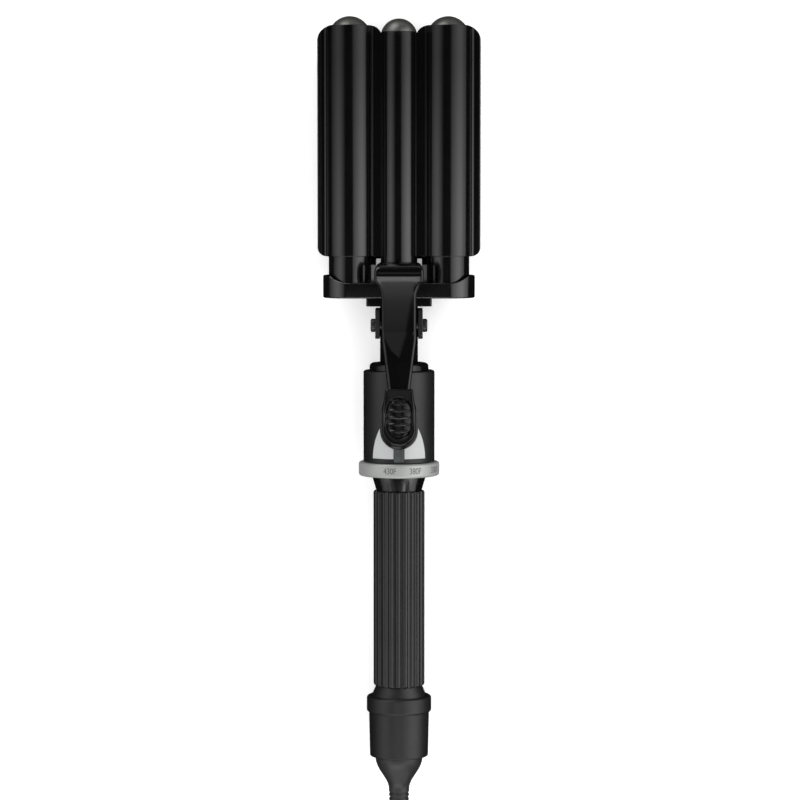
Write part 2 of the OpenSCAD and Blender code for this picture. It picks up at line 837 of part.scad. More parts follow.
// Oval of the thumb pad: two wide arcs joined by round ends
module pad_outline() {
    end_r = 4.6;
    reach = pad_len / 2 - end_r;
    side_r = (reach * reach + pad_half * pad_half - end_r * end_r) / (2 * (pad_half - end_r));
    union() {
        intersection() {
            translate([pad_half - side_r, 0]) circle(side_r);
            translate([side_r - pad_half, 0]) circle(side_r);
            square([2 * pad_half + 1, 2 * reach], center = true);
        }
        for (end = [-1, 1]) translate([0, end * reach]) circle(end_r);
    }
}

// Arched ridges across the pad
module ridge_set() {
    arch_r = 14;
    translate([0, pad_y, rest_t - pad_dip - eps]) linear_extrude(pad_dip - 0.1) intersection() {
        union() for (k = [0:ridges - 1])
            translate([0, (k - (ridges - 1) / 2) * ridge_pitch - arch_r]) difference() {
                circle(arch_r + 0.6);
                circle(arch_r - 0.6);
                translate([0, -arch_r]) square([60, 2 * arch_r], center = true);
            }
        pad_outline();
    }
}

module lever_screws() {
    head_r = 2.2;
    head_h = 0.6;
    color("#7a7a78") on_arm() for (y = rest_screws) translate([0, y, -lever_t]) union() {
        translate([0, 0, -head_h]) cylinder(r = head_r, h = head_h);
        translate([0, 0, -eps]) cylinder(r = rest_screw_r, h = lever_t + 1.2);
    }
}

// ---- Body ----

// Pointed arch of the inlay: two arcs that meet on the centre line
module ogive(grow) {
    half = inlay_half + grow;
    height = inlay_len + 2 * grow;
    arch_r = (height * height + half * half) / (2 * half);
    translate([0, y_body + ledge_h - grow]) intersection() {
        translate([half - arch_r, 0]) circle(arch_r, $fn = 160);
        translate([arch_r - half, 0]) circle(arch_r, $fn = 160);
        translate([-half - 1, 0]) square([2 * half + 2, height + 1]);
    }
}

// Plan of the button between two stations, grown by a clearance
module button_plan(y_from, y_to, grow) {
    translate([0, (y_from + y_to) / 2])
        round_box(button_w + 2 * grow, y_to - y_from + 2 * grow, 0.6 + grow);
}

// Stepped window that guides the button
module button_window() {
    upright(lens_up - button_travel - 0.1, 30) button_plan(button_low_y, button_high_y, button_gap);
    upright(dome_up, 30) button_plan(button_stem_y, button_high_y, button_gap);
}

module body_section() {
    top_in = stem_r + seat;
    difference() {
        union() {
            round_disc(body_r, y_body, y_collar, 0.4, body_edge);
            translate([0, y_ring]) square([spigot_r, ring_h + eps]);
        }
        translate([0, y_body + base_t]) square([body_in, body_len - base_t - body_wall]);
        translate([-eps, y_ring - 1]) square([core_bore + eps, ring_h + 10]);
        translate([-eps, y_collar - 5]) square([top_in + eps, 10]);
        translate([track_in - 0.2, y_body - 1]) square([track_out - track_in + 0.4, 2.8]);
    }
}

module body_housing() {
    color("#1b1b1b") difference() {
        turned() body_section();
        intersection() {
            turned() translate([body_r - inlay_t, y_body]) square([5, body_len]);
            upright(0, 30) ogive(0.05);
        }
        button_window();
        collar_screw_holes(1.6, y_collar - body_wall - 1, y_collar + 1);
    }
}

module front_inlay() {
    color("#c9cac8") difference() {
        intersection() {
            turned() difference() {
                translate([body_r - inlay_t, y_body]) square([inlay_t + inlay_proud, body_len]);
            }
            upright(0, 30) ogive(0);
        }
        button_window();
    }
}

// Tray inside the body, under the button, that carries the switch dome
module switch_frame() {
    wall = 1.2;
    half = button_w / 2 + button_flange + 1.4;
    y_from = y_body + base_t;
    y_to = button_high_y + 2.4;
    color("#30302e") difference() {
        intersection() {
            upright(dome_up - wall, 20) translate([-half - wall, y_from])
                square([2 * (half + wall), y_to - y_from]);
            turned() translate([0, y_from]) square([body_in - seat, body_len]);
        }
        upright(dome_up, 30) translate([-half, y_from - 1]) square([2 * half, y_to - y_from + 1 - wall]);
    }
}

// Soft dome that lifts the button again
module switch_dome() {
    height = button_foot - dome_up;
    color("#8c8f90") translate([0, button_mid_y, axis_h + dome_up]) rotate_extrude()
        polygon([[0, 0], [2, 0], [2, 0.4], [1.2, height - 0.5], [1.2, height], [0, height]]);
}

// Smoky lens with a stem through the window and a flange that keeps it in
module power_button() {
    color("#5c6064") union() {
        intersection() {
            union() {
                upright(lens_up, 30) button_plan(button_low_y, button_high_y, 0);
                upright(button_foot, lens_up + 0.2) button_plan(button_stem_y, button_high_y, 0);
            }
            turned() translate([0, y_body]) square([body_r + button_proud, body_len]);
        }
        upright(button_foot, button_foot + 1) translate([-button_w / 2 - button_flange, button_stem_y + 0.6])
            square([button_w + 2 * button_flange, button_high_y - button_stem_y + 0.2]);
    }
}

module circuit_board() {
    up = -3;
    half = sqrt(body_in * body_in - (up - board_t) * (up - board_t)) - 0.2;
    y_from = y_collar - body_wall - 3.4 - board_len;
    color("#2f6b3c") {
        upright(up - board_t, up) translate([-half, y_from]) square([2 * half, board_len]);
        upright(up - eps, up + 5) translate([-8, y_from + 4]) square([6, 9]);
        upright(up - eps, up + 3) translate([3, y_from + 12]) square([7, 10]);
    }
}

// C-shaped resistor track under the body and the wiper on the ring that runs on it
module arc_band(in_r, out_r, y_from, y_to, turn_from, turn_to) {
    translate([0, 0, axis_h]) rotate([-90, 0, 0]) rotate([0, 0, turn_from])
        rotate_extrude(angle = turn_to - turn_from)
            translate([in_r, y_from]) square([out_r - in_r, y_to - y_from]);
}

module resistor_track() {
    color("#6b4a2a") arc_band(track_in, track_out, y_body + 0.8, y_body + 1.8, -240, -60);
}

module dial_wiper() {
    color("#b8863a") arc_band(track_in + 0.3, track_out - 0.3, y_body - ring_gap, y_body + 0.7, -96, -84);
}

module dial_ring() {
    color("#b9bab8") turned() difference() {
        round_disc(ring_r, y_ring + ring_gap, y_body - ring_gap, ring_edge, ring_edge);
        translate([-eps, y_ring - 1]) square([ring_bore + eps, ring_h + 2]);
    }
}

module neck_collar() {
    color("#1a1a1a") difference() {
        turned() difference() {
            round_disc(collar_r, y_collar, y_stem, 0.2, collar_edge);
            translate([-eps, y_collar - 1]) square([stem_r + eps, collar_h + 2]);
            translate([-eps, y_collar - collar_edge]) square([collar_r + 1, collar_edge]);
        }
        collar_screw_holes(1.2, y_collar - 1, y_collar + 2.6);
    }
}

module collar_screw_holes(r, y_from, y_to) {
    for (turn = [30, 150, 270]) run(y_from, y_to)
        translate([collar_screw_r * cos(turn), collar_screw_r * sin(turn)]) circle(r);
}

module collar_screws() {
    y_head = y_collar - body_wall;
    color("#9a9a98") for (turn = [30, 150, 270])
        turned(collar_screw_r * cos(turn), collar_screw_r * sin(turn)) union() {
            translate([0, y_head]) square([1.2, body_wall + 2.5]);
            round_disc(2.2, y_head - 1.4, y_head, 0.4, 0.1);
        }
}

// ---- Handle ----

module handle_neck() {
    color("#0f1412") turned() difference() {
        polygon([[0, y_neck], [neck_low_r, y_neck], [neck_top_r, y_ring - 0.8],
            [neck_top_r, y_ring], [0, y_ring]]);
        translate([-eps, y_neck - 1]) square([core_bore + eps, neck_h + 2]);
    }
}

module handle_core() {
    color("#2b2b2b") turned() translate([core_r - core_wall, y_band + 1])
        square([core_wall, y_body + 5 - y_band - 1]);
}

// Ribbed sleeve: round ribs all round, with softened ends
module grip_sleeve() {
    rib_r = PI * (grip_r - rib_depth) / grip_ribs * 0.78;
    color("#1e1e1e") difference() {
        intersection() {
            run(y_grip, y_neck) union() {
                circle(grip_r - rib_depth);
                for (k = [0:grip_ribs - 1]) rotate(k * 360 / grip_ribs)
                    translate([0, grip_r - rib_r]) circle(rib_r, $fn = 24);
            }
            turned() round_disc(grip_r, y_grip, y_neck, 1, 1);
        }
        run(y_grip - 1, y_neck + 1) circle(core_bore);
    }
}

module end_cap() {
    cavity = cup_low_r - cup_wall;
    color("#1d1d1d") turned() difference() {
        union() {
            polygon([[0, y_cone], [cone_low_r, y_cone], [cone_low_r, y_cone + 0.8],
                [cone_top_r, y_grip], [0, y_grip]]);
            round_disc(band_r, y_band, y_cone, 1, 1.2);
            intersection() {
                polygon([[0, y_cup], [cup_low_r, y_cup], [cup_r, y_band + 1], [0, y_band + 1]]);
                round_disc(cup_r, y_cup, y_band + 4, 1.6, 0.1);
            }
        }
        translate([-eps, y_band + 1 - eps]) square([core_bore + eps, 40]);
        translate([-eps, y_cup + cup_wall]) square([cavity + eps, cup_len - cup_wall + 1]);
        translate([-eps, y_cup - 1]) square([boot_r + boot_gap + eps, 5]);
    }
}

// Bell of the boot: a cosine sweep from its shoulder to the strain relief
bell_steps = 12;
function bell_r(k) = relief_r + (boot_r - relief_r) * (1 + cos(180 * pow(k / bell_steps, 1.12))) / 2;

module boot_section() {
    rib = relief_len / relief_ribs;
    flange_r = cup_low_r - cup_wall - boot_gap;
    flange_y = y_cup + cup_wall + boot_gap;
    taper = (relief_r - relief_low_r) / relief_ribs;
    polygon(concat(
        [[0, flange_y + 12], [5, flange_y + 12], [5, flange_y + 3], [flange_r, flange_y + 3],
            [flange_r, flange_y], [boot_r, flange_y]],
        [for (k = [0:bell_steps]) [bell_r(k), y_cup - boot_len * k / bell_steps]],
        [for (k = [0:relief_ribs - 1]) each [
            [relief_r - taper * k, y_boot - rib * (k + 0.1)],
            [relief_r - taper * k, y_boot - rib * (k + 0.6)],
            [relief_r - taper * k - 0.45, y_boot - rib * (k + 0.7)],
            [relief_r - taper * k - 0.45, y_boot - rib * (k + 1)]
        ]],
        [[0, y_relief]]
    ));
}

module swivel_boot() {
    color("#222222") turned() boot_section();
}

ring_places = [4.5, 8.5];

module slip_rings() {
    y_from = y_cup + cup_wall + boot_gap;
    color("#b88a3e") turned() for (y = ring_places)
        translate([5, y_from + y]) square([1.4, 2]);
}

module contact_brushes() {
    y_from = y_cup + cup_wall + boot_gap;
    cavity = cup_low_r - cup_wall;
    color("#b88a3e") for (y = ring_places) intersection() {
        translate([0, y_from + y + 1, axis_h + 6.5 + 5]) cube([3, 1.6, 10], center = true);
        turned() translate([0, y_cup]) square([cavity, cup_len]);
    }
}

// ---- Cord ----

module cord_lead() { color("#1b1b1b") sweep(lead_path, cord_d / 2, 12); }
module cord_tail() { color("#1b1b1b") sweep(tail_path, cord_d / 2, 12); }

module cord_coil() {
    color("#1b1b1b") translate([coil_x, coil_y, 0]) rotate_extrude()
        translate([coil_mid_r, coil_h / 2]) round_box(coil_w, coil_h, cord_d / 2);
}

// Tie round the coil, on the side away from the lead
module cord_tie() {
    tie_w = 7;
    tie_t = 1;
    tie_gap = 0.25;
    color("#2e2e2e") translate([coil_x - coil_mid_r, coil_y, 0]) rotate([90, 0, 0])
        translate([0, 0, -tie_w / 2]) linear_extrude(tie_w) intersection() {
            translate([0, coil_h / 2]) difference() {
                round_box(coil_w + 2 * (tie_t + tie_gap), coil_h + 2 * tie_t, cord_d / 2 + tie_t);
                round_box(coil_w + 2 * tie_gap, coil_h + 0.1, cord_d / 2);
            }
            translate([-coil_w, 0]) square([2 * coil_w, 2 * coil_h]);
        }
}

module plug_body() {
    neck_len = 14;
    color("#1b1b1b") translate([plug_x, plug_y, plug_h / 2]) rotate([-90, 0, 0]) union() {
        linear_extrude(plug_len) round_box(plug_w, plug_h, 4.5);
        translate([0, 0, -neck_len]) cylinder(r1 = 4, r2 = 6, h = neck_len);
    }
}

module plug_blades() {
    color("#c8b070") for (side = [-1, 1])
        translate([plug_x + side * 6.35 - 0.75, plug_y + plug_len, plug_h / 2 - 3.2])
            cube([1.5, 16, 6.4]);
}

body_housing();
front_inlay();
switch_frame();
circuit_board();
resistor_track();
neck_collar();
collar_screws();
neck_stem();
pivot_bracket();
pivot_pin();
lever_spring();
stand_block();
stand_pins();
jaw_yoke();
yoke_screws();
left_barrel();
right_barrel();
left_tip();
right_tip();
left_heater();
right_heater();
rear_trough();
clamp_lever();
thumb_rest();
lever_screws();
middle_barrel();
middle_tip();
middle_heater();
left_clamp_plate();
right_clamp_plate();
dial_ring();
dial_wiper();
power_button();
switch_dome();
rest_stand();
handle_neck();
handle_core();
grip_sleeve();
end_cap();
contact_brushes();
swivel_boot();
slip_rings();
cord_lead();
cord_coil();
cord_tail();
cord_tie();
plug_body();
plug_blades();
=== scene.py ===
import json
import math

import bpy
from mathutils import Matrix, Vector


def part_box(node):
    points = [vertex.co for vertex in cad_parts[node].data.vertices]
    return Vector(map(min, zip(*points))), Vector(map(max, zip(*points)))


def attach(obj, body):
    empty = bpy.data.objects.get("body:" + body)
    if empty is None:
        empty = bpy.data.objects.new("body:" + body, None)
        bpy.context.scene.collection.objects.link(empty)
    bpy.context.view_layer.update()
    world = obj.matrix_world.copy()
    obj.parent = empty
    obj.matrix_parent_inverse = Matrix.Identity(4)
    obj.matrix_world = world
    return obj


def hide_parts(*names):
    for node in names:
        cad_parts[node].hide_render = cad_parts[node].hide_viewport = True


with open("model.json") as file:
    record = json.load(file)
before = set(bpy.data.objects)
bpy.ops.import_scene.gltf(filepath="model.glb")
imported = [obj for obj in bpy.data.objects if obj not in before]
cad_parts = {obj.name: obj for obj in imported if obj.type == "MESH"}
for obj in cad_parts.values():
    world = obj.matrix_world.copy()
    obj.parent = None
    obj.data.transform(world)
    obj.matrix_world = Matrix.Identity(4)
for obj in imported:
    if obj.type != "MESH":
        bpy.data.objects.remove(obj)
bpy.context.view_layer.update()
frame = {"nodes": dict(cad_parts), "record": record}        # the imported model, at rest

mm = 0.001                                   # settings are in mm and degrees, but for those marked
ringLow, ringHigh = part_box("dial_ring")
axisUp = (ringLow.z + ringHigh.z) / 2        # height of the tool's own axis over the table
print("frame loaded:", len(frame["nodes"]), "nodes")


# small helpers

def deselectAll():
    bpy.ops.object.select_all(action="DESELECT")


def makeActive(piece):
    deselectAll()
    piece.select_set(True)
    bpy.context.view_layer.objects.active = piece


def applyModifier(piece, kind, **values):
    makeActive(piece)
    modifier = piece.modifiers.new(kind.lower(), kind)
    for key, value in values.items():
        setattr(modifier, key, value)
    bpy.ops.object.modifier_apply(modifier=modifier.name)


# smooth shading in which the large faces keep their own direction
def smoothByAngle(piece, degrees=32):
    makeActive(piece)
    bpy.ops.object.shade_smooth_by_angle(angle=math.radians(degrees), keep_sharp_edges=True)
    applyModifier(piece, "WEIGHTED_NORMAL", keep_sharp=True, weight=60)


# the normals of the faces that meet at each edge
def normalsByEdge(mesh):
    normals = {}
    for polygon in mesh.polygons:
        for key in polygon.edge_keys:
            normals.setdefault(key, []).append(polygon.normal)
    return normals


def setMaterial(piece, material):
    piece.data.materials.clear()
    piece.data.materials.append(material)


# finish, body, and the CAD nodes that the piece stands for
def placePiece(piece, body, material, replaced=()):
    setMaterial(piece, material)
    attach(piece, body)
    if replaced:
        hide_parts(*replaced)


# the body that a CAD node moves with
def bodyOf(nodeName):
    for body, names in frame["record"]["behaviour"]["bodies"].items():
        if nodeName in names:
            return body


# camera

viewSettings = {
    "aimX": 0.5,           # the camera looks at this point on the level of the tool's axis
    "aimY": 20.7,
    "nadirY": 130.2,       # and stands above this station
    "distance": 1487.5,
    "lens": 133.9,
    "sensor": 36.0,
    "clipStart": 0.05,     # metres
    "clipEnd": 50,
}


def makeCamera(settings):
    back = settings["nadirY"] - settings["aimY"]
    height = math.sqrt(settings["distance"] ** 2 - back ** 2)
    data = bpy.data.cameras.new("camera")
    data.lens = settings["lens"]
    data.sensor_width = settings["sensor"]
    data.clip_start = settings["clipStart"]
    data.clip_end = settings["clipEnd"]
    camera = bpy.data.objects.new("camera", data)
    bpy.context.scene.collection.objects.link(camera)
    camera.location = (settings["aimX"] * mm, settings["nadirY"] * mm, axisUp + height * mm)
    camera.rotation_euler = (-math.atan2(back, height), 0, 0)
    bpy.context.scene.camera = camera


makeCamera(viewSettings)
print("camera set")


# cord route: the same points as the CAD solids

cordSettings = {
    "diameter": 6.5,
    "shown": 6.44,         # a hair thinner, so that no turn sinks into the next one
    "coilMid": 39.0,
    "coilWidth": 26.0,
    "pointsPerTurn": 24,
    "turns": 7.556,
    "stepShare": 0.25,     # each turn steps over to the next column in this last share of it
    "gap": 0.05,           # between the lower layer and the table
    "leadX": 27.0,
    "coilY": -318.0,
    "straight": 2,         # where it leaves the boot
    "length": 1.97,        # metres
}

leadPoints = [
    (0, -211.3, 20.15), (0, -216, 20.15), (1.1, -224, 19.6), (3.3, -232, 18.3),
    (6.4, -240, 16.3), (10.1, -248, 13.9), (14, -256, 11.4), (17.9, -264, 8.9), (21.4, -272, 6.6),
    (24.3, -280, 4.8), (26.3, -288, 3.7), (27, -296, 3.3), (27, -306, 3.3),
]
tailPoints = [
    (-65.3, -293.3, 9.75), (-64.5, -288, 9.4), (-64.1, -283, 8.7), (-64, -278, 7.7),
    (-64, -272, 6.8), (-64, -267, 6.5), (-64, -264, 6.5),
]


def smoothStep(t):
    t = min(max(t, 0), 1)
    return t * t * (3 - 2 * t)


# turns of the coil, clockwise from above: the lower layer winds inwards, the upper one outwards
def coilPoints(settings):
    pitch = settings["diameter"]
    outer = settings["coilMid"] + settings["coilWidth"] / 2 - pitch / 2
    last = round(settings["coilWidth"] / pitch) - 1        # the innermost column
    centreX = settings["leadX"] - outer
    count = settings["pointsPerTurn"]
    points = []
    for k in range(int(settings["turns"] * count) + 1):
        turn = k / count
        toGo = int(turn) + 1 - turn
        shift = int(turn) + smoothStep(1 - toGo / settings["stepShare"])
        column = shift if shift <= last else max(last, shift - 1)
        if column > last:
            column = 2 * last - column
        radius = outer - column * pitch
        climb = min(max(shift - last, 0), 1)
        angle = -2 * math.pi * turn
        points.append((
            centreX + radius * math.cos(angle),
            settings["coilY"] + radius * math.sin(angle),
            pitch / 2 + settings["gap"] + climb * pitch))
    return points


# a round curve through the whole route, which leaves the boot straight
def makeCord(settings):
    route = leadPoints + coilPoints(settings) + tailPoints
    data = bpy.data.curves.new("cord", "CURVE")
    data.dimensions = "3D"
    data.bevel_depth = settings["shown"] / 2 * mm
    data.bevel_resolution = 5
    data.resolution_u = 3
    data.use_fill_caps = True
    spline = data.splines.new("BEZIER")
    spline.bezier_points.add(len(route) - 1)
    for point, place in zip(spline.bezier_points, route):
        point.co = Vector(place) * mm
        point.handle_left_type = "AUTO"
        point.handle_right_type = "AUTO"
    first = spline.bezier_points[0]
    first.handle_left_type = first.handle_right_type = "FREE"
    straight = Vector((0, settings["straight"] * mm, 0))
    first.handle_right = first.co - straight
    first.handle_left = first.co + straight
    cord = bpy.data.objects.new("powerCord", data)
    bpy.context.scene.collection.objects.link(cord)
    return cord


cord = makeCord(cordSettings)
print("cord laid")


# materials

def addSocket(group, name, kind, way, value=None):
    socket = group.interface.new_socket(name=name, in_out=way, socket_type=kind)
    if value is not None:
        socket.default_value = value
    return socket


# slow patches in colour and roughness, and a fine moulded grain, all on Object coordinates
def makeSurfaceGroup():
    group = bpy.data.node_groups.new("mouldedSurface", "ShaderNodeTree")
    addSocket(group, "Colour", "NodeSocketColor", "INPUT", (0.05, 0.05, 0.05, 1))
    addSocket(group, "Patch Colour", "NodeSocketColor", "INPUT", (0.07, 0.07, 0.07, 1))
    addSocket(group, "Patch Scale", "NodeSocketFloat", "INPUT", 60)
    addSocket(group, "Roughness", "NodeSocketFloat", "INPUT", 0.4)
    addSocket(group, "Roughness Spread", "NodeSocketFloat", "INPUT", 0.1)
    addSocket(group, "Grain Scale", "NodeSocketFloat", "INPUT", 2500)
    addSocket(group, "Grain Depth", "NodeSocketFloat", "INPUT", 0.00001)
    addSocket(group, "Colour", "NodeSocketColor", "OUTPUT")
    addSocket(group, "Roughness", "NodeSocketFloat", "OUTPUT")
    addSocket(group, "Height", "NodeSocketFloat", "OUTPUT")
    nodes, links = group.nodes, group.links
    inputs = nodes.new("NodeGroupInput")
    outputs = nodes.new("NodeGroupOutput")
    place = nodes.new("ShaderNodeTexCoord")

    patches = nodes.new("ShaderNodeTexNoise")
    patches.inputs["Detail"].default_value = 5
    links.new(place.outputs["Object"], patches.inputs["Vector"])
    links.new(inputs.outputs["Patch Scale"], patches.inputs["Scale"])
    spread = nodes.new("ShaderNodeMapRange")
    spread.inputs["From Min"].default_value = 0.3
    spread.inputs["From Max"].default_value = 0.7
    links.new(patches.outputs["Fac"], spread.inputs["Value"])
    mixColour = nodes.new("ShaderNodeMix")
    mixColour.data_type = "RGBA"
    links.new(spread.outputs["Result"], mixColour.inputs["Factor"])
    links.new(inputs.outputs["Colour"], mixColour.inputs["A"])
    links.new(inputs.outputs["Patch Colour"], mixColour.inputs["B"])
    links.new(mixColour.outputs["Result"], outputs.inputs["Colour"])

    smudges = nodes.new("ShaderNodeTexNoise")
    smudges.inputs["Detail"].default_value = 6
    smudges.inputs["Scale"].default_value = 140
    links.new(place.outputs["Object"], smudges.inputs["Vector"])
    centred = nodes.new("ShaderNodeMath")
    centred.operation = "SUBTRACT"
    centred.inputs[1].default_value = 0.5
    links.new(smudges.outputs["Fac"], centred.inputs[0])
    scaled = nodes.new("ShaderNodeMath")
    scaled.operation = "MULTIPLY_ADD"
    scaled.use_clamp = True
    links.new(centred.outputs[0], scaled.inputs[0])
    links.new(inputs.outputs["Roughness Spread"], scaled.inputs[1])
    links.new(inputs.outputs["Roughness"], scaled.inputs[2])
    links.new(scaled.outputs[0], outputs.inputs["Roughness"])

    grain = nodes.new("ShaderNodeTexNoise")
    grain.inputs["Detail"].default_value = 2
    links.new(place.outputs["Object"], grain.inputs["Vector"])
    links.new(inputs.outputs["Grain Scale"], grain.inputs["Scale"])
    depth = nodes.new("ShaderNodeMath")
    depth.operation = "MULTIPLY"
    links.new(grain.outputs["Fac"], depth.inputs[0])
    links.new(inputs.outputs["Grain Depth"], depth.inputs[1])
    links.new(depth.outputs[0], outputs.inputs["Height"])
    return group


surfaceGroup = makeSurfaceGroup()


# a Principled surface fed by the shared group; what is the same all over stays on the shader
def makeMaterial(name, colour, patchColour, roughness, **more):
    material = bpy.data.materials.new(name)
    material.use_nodes = True
    nodes, links = material.node_tree.nodes, material.node_tree.links
    shader = nodes["Principled BSDF"]
    surface = nodes.new("ShaderNodeGroup")
    surface.node_tree = surfaceGroup
    surface.inputs["Colour"].default_value = (*colour, 1)
    surface.inputs["Patch Colour"].default_value = (*patchColour, 1)
    surface.inputs["Roughness"].default_value = roughness
    for key, value in more.get("surface", {}).items():
        surface.inputs[key].default_value = value
    for key, value in more.get("shader", {}).items():
        shader.inputs[key].default_value = value
    bump = nodes.new("ShaderNodeBump")
    bump.inputs["Distance"].default_value = 1
    links.new(surface.outputs["Colour"], shader.inputs["Base Color"])
    links.new(surface.outputs["Roughness"], shader.inputs["Roughness"])
    links.new(surface.outputs["Height"], bump.inputs["Height"])
    links.new(bump.outputs["Normal"], shader.inputs["Normal"])
    return material


def grey(value):
    return (value, value, value * 1.02)


glossGrain = {"Roughness Spread": 0.06, "Grain Scale": 1500, "Grain Depth": 0.0000025}
mattGrain = {
    "Patch Scale": 40, "Roughness Spread": 0.12, "Grain Scale": 3200, "Grain Depth": 0.00001}

barrelEnamel = makeMaterial(
    "barrelEnamel", grey(0.0012), grey(0.002), 0.19,
    surface={"Roughness Spread": 0.05, "Grain Scale": 900, "Grain Depth": 0.0000015},
    shader={"IOR": 1.45, "Coat Roughness": 0.12})


# the barrels' lacquer is thicker near the yoke than at the tips
def addLacquer(material, thinY, thickY):
    nodes, links = material.node_tree.nodes, material.node_tree.links
    place = nodes.new("ShaderNodeTexCoord")
    split = nodes.new("ShaderNodeSeparateXYZ")
    along = nodes.new("ShaderNodeMapRange")
    along.inputs["From Min"].default_value = thinY * mm
    along.inputs["From Max"].default_value = thickY * mm
    links.new(place.outputs["Object"], split.inputs["Vector"])
    links.new(split.outputs["Y"], along.inputs["Value"])
    links.new(along.outputs["Result"], nodes["Principled BSDF"].inputs["Coat Weight"])


addLacquer(barrelEnamel, 190, 108)
glossEnamel = makeMaterial(
    "glossEnamel", grey(0.0015), grey(0.0025), 0.13,
    surface={"Roughness Spread": 0.05, "Grain Scale": 1200, "Grain Depth": 0.0000015},
    shader={"IOR": 1.5, "Coat Weight": 0.12, "Coat Roughness": 0.07})
glossPlastic = makeMaterial(
    "glossPlastic", grey(0.002), grey(0.0035), 0.16,
    surface=glossGrain,
    shader={"IOR": 1.5})
yokePlastic = makeMaterial(
    "yokePlastic", grey(0.0015), grey(0.003), 0.16,
    surface=glossGrain,
    shader={"IOR": 1.75, "Coat Weight": 0.35, "Coat Roughness": 0.1})
tipSatin = makeMaterial(
    "tipSatin", (0.16, 0.16, 0.15), (0.13, 0.13, 0.12), 0.36,
    surface={"Roughness Spread": 0.1, "Grain Scale": 3500, "Grain Depth": 0.000004},
    shader={"Metallic": 0.8})
softTouch = makeMaterial(
    "softTouch", grey(0.005), grey(0.007), 0.43,
    surface=mattGrain,
    shader={"IOR": 1.6})
bootRubber = makeMaterial(
    "bootRubber", grey(0.015), grey(0.02), 0.42,
    surface=mattGrain,
    shader={"IOR": 1.55})
gripRubber = makeMaterial(
    "gripRubber", grey(0.004), grey(0.0065), 0.24,
    surface={"Patch Scale": 55, "Roughness Spread": 0.14,
             "Grain Scale": 2600, "Grain Depth": 0.000014},
    shader={"IOR": 1.6})
cordRubber = makeMaterial(
    "cordRubber", grey(0.011), grey(0.015), 0.5,
    surface={"Roughness Spread": 0.12, "Grain Scale": 2200, "Grain Depth": 0.00001},
    shader={"IOR": 1.45})
inlaySilver = makeMaterial(
    "inlaySilver", (0.46, 0.473, 0.469), (0.42, 0.433, 0.429), 0.45,
    surface={"Roughness Spread": 0.08, "Grain Scale": 4000, "Grain Depth": 0.000004},
    shader={"Metallic": 0.12})
ringSatin = makeMaterial(
    "ringSatin", (0.46, 0.47, 0.46), (0.40, 0.41, 0.40), 0.46,
    surface={"Roughness Spread": 0.1, "Grain Scale": 3600, "Grain Depth": 0.000008},
    shader={"Metallic": 0.6})
lensSmoke = makeMaterial(
    "lensSmoke", (0.04, 0.045, 0.046), (0.065, 0.07, 0.072), 0.2,
    surface={"Patch Scale": 300, "Roughness Spread": 0.06},
    shader={"Coat Weight": 0.4, "Coat Roughness": 0.06})
springSteel = makeMaterial(
    "springSteel", grey(0.50), grey(0.40), 0.3,
    surface={"Patch Scale": 200, "Roughness Spread": 0.2,
             "Grain Scale": 2400, "Grain Depth": 0.000003},
    shader={"Metallic": 1.0})
blackSteel = makeMaterial(
    "blackSteel", grey(0.012), grey(0.02), 0.26,
    surface={"Patch Scale": 120, "Roughness Spread": 0.12,
             "Grain Scale": 1800, "Grain Depth": 0.000004},
    shader={"Metallic": 0.2, "Coat Weight": 0.3})
contactBrass = makeMaterial(
    "contactBrass", (0.62, 0.42, 0.16), (0.46, 0.30, 0.12), 0.28,
    surface={"Patch Scale": 260, "Roughness Spread": 0.16},
    shader={"Metallic": 1.0})
heaterCeramic = makeMaterial(
    "heaterCeramic", (0.72, 0.68, 0.58), (0.62, 0.58, 0.50), 0.7,
    surface={"Patch Scale": 180, "Grain Depth": 0.00002})
boardGreen = makeMaterial(
    "boardGreen", (0.03, 0.16, 0.06), (0.02, 0.11, 0.05), 0.35,
    surface={"Patch Scale": 400})
innerPlastic = makeMaterial(
    "innerPlastic", grey(0.05), grey(0.04), 0.5,
    surface={"Grain Depth": 0.00001})
printInk = makeMaterial(
    "printInk", grey(0.075), grey(0.1), 0.5,
    surface={"Patch Scale": 900})
print("materials ready")


# CAD nodes: softened edges and their finish

